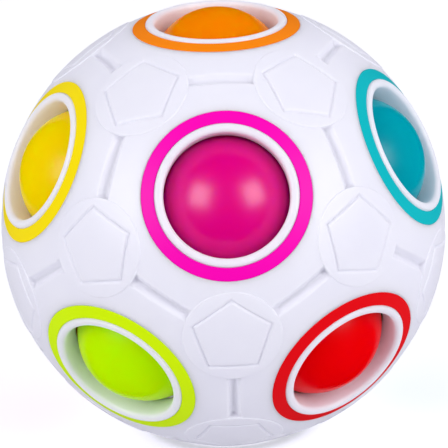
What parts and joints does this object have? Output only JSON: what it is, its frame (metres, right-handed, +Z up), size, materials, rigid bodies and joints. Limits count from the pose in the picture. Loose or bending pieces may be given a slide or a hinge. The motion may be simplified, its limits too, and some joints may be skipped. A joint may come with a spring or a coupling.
{
  "type": "puzzle ball",
  "caption": "Hollow white puzzle ball whose captive coloured balls press in and pass between ringed sockets until each ball's colour matches its ring.",
  "frame": {"origin": "centre of the empty socket's lip, on which the ball stands", "axes": "+Z up through the orange socket opposite the empty one; -Y towards the front, where the magenta socket faces forward and a little up; +X to the right seen from the front"},
  "size_m": [0.0696, 0.07, 0.0686],
  "materials": {
    "shell_white": "satin moulded ABS",
    "core_foam": "soft closed-cell foam",
    "ring_orange": "glossy moulded plastic",
    "ring_magenta": "glossy moulded plastic",
    "ring_teal": "glossy moulded plastic",
    "ring_violet": "glossy moulded plastic",
    "ring_blue": "glossy moulded plastic",
    "ring_yellow": "glossy moulded plastic",
    "ring_red": "glossy moulded plastic",
    "ring_emerald": "glossy moulded plastic",
    "ring_brown": "glossy moulded plastic",
    "ring_rose": "glossy moulded plastic",
    "ring_lime": "glossy moulded plastic",
    "ring_grey": "glossy moulded plastic",
    "ball_orange": "polished solid plastic",
    "ball_magenta": "polished solid plastic",
    "ball_teal": "polished solid plastic",
    "ball_violet": "polished solid plastic",
    "ball_blue": "polished solid plastic",
    "ball_yellow": "polished solid plastic",
    "ball_red": "polished solid plastic",
    "ball_emerald": "polished solid plastic",
    "ball_brown": "polished solid plastic",
    "ball_rose": "polished solid plastic",
    "ball_lime": "polished solid plastic"
  },
  "bodies": {
    "shell": {"front_shell": "shell_white", "rear_shell": "shell_white", "ring_orange": "ring_orange", "ring_magenta": "ring_magenta", "ring_teal": "ring_teal", "ring_violet": "ring_violet", "ring_blue": "ring_blue", "ring_yellow": "ring_yellow", "ring_red": "ring_red", "ring_emerald": "ring_emerald", "ring_brown": "ring_brown", "ring_rose": "ring_rose", "ring_lime": "ring_lime", "ring_grey": "ring_grey"},
    "core": {"core": "core_foam"},
    "ball_orange": {"ball_orange": "ball_orange"},
    "ball_magenta": {"ball_magenta": "ball_magenta"},
    "ball_teal": {"ball_teal": "ball_teal"},
    "ball_violet": {"ball_violet": "ball_violet"},
    "ball_blue": {"ball_blue": "ball_blue"},
    "ball_yellow": {"ball_yellow": "ball_yellow"},
    "ball_red": {"ball_red": "ball_red"},
    "ball_emerald": {"ball_emerald": "ball_emerald"},
    "ball_brown": {"ball_brown": "ball_brown"},
    "ball_rose": {"ball_rose": "ball_rose"},
    "ball_lime": {"ball_lime": "ball_lime"}
  },
  "joints": [
    {"name": "press_orange", "type": "slide", "parent": "shell", "child": "ball_orange", "axis": [0, 0, -1], "range_m": [0, 0.00375], "stiffness_N_per_m": 700, "springref_m": -0.0003, "deforming": ["core"]},
    {"name": "press_magenta", "type": "slide", "parent": "shell", "child": "ball_magenta", "axis": [0, 0.8944, -0.4472], "range_m": [0, 0.00375], "stiffness_N_per_m": 700, "springref_m": -0.0003, "deforming": ["core"]},
    {"name": "press_teal", "type": "slide", "parent": "shell", "child": "ball_teal", "axis": [-0.8507, 0.2764, -0.4472], "range_m": [0, 0.00375], "stiffness_N_per_m": 700, "springref_m": -0.0003, "deforming": ["core"]},
    {"name": "press_violet", "type": "slide", "parent": "shell", "child": "ball_violet", "axis": [-0.5257, -0.7236, -0.4472], "range_m": [0, 0.00375], "stiffness_N_per_m": 700, "springref_m": -0.0003, "deforming": ["core"]},
    {"name": "press_blue", "type": "slide", "parent": "shell", "child": "ball_blue", "axis": [0.5257, -0.7236, -0.4472], "range_m": [0, 0.00375], "stiffness_N_per_m": 700, "springref_m": -0.0003, "deforming": ["core"]},
    {"name": "press_yellow", "type": "slide", "parent": "shell", "child": "ball_yellow", "axis": [0.8507, 0.2764, -0.4472], "range_m": [0, 0.00375], "stiffness_N_per_m": 700, "springref_m": -0.0003, "deforming": ["core"]},
    {"name": "press_red", "type": "slide", "parent": "shell", "child": "ball_red", "axis": [-0.5257, 0.7236, 0.4472], "range_m": [0, 0.00375], "stiffness_N_per_m": 700, "springref_m": -0.0003, "deforming": ["core"]},
    {"name": "press_emerald", "type": "slide", "parent": "shell", "child": "ball_emerald", "axis": [-0.8507, -0.2764, 0.4472], "range_m": [0, 0.00375], "stiffness_N_per_m": 700, "springref_m": -0.0003, "deforming": ["core"]},
    {"name": "press_rose", "type": "slide", "parent": "shell", "child": "ball_rose", "axis": [0.8507, -0.2764, 0.4472], "range_m": [0, 0.00375], "stiffness_N_per_m": 700, "springref_m": -0.0003, "deforming": ["core"]},
    {"name": "press_lime", "type": "slide", "parent": "shell", "child": "ball_lime", "axis": [0.5257, 0.7236, 0.4472], "range_m": [0, 0.00375], "stiffness_N_per_m": 700, "springref_m": -0.0003, "deforming": ["core"]},
    {"name": "core_roll", "type": "hinge", "parent": "shell", "child": "core", "pos_m": [0, 0, 0.03345], "axis": [-1, 0, 0], "range_deg": [0, 63.43]},
    {"name": "rise_brown", "type": "slide", "parent": "core", "child": "ball_brown", "axis": [0, 0.8944, -0.4472], "range_m": [0, 0.00435], "deforming": ["core"]}
  ]
}
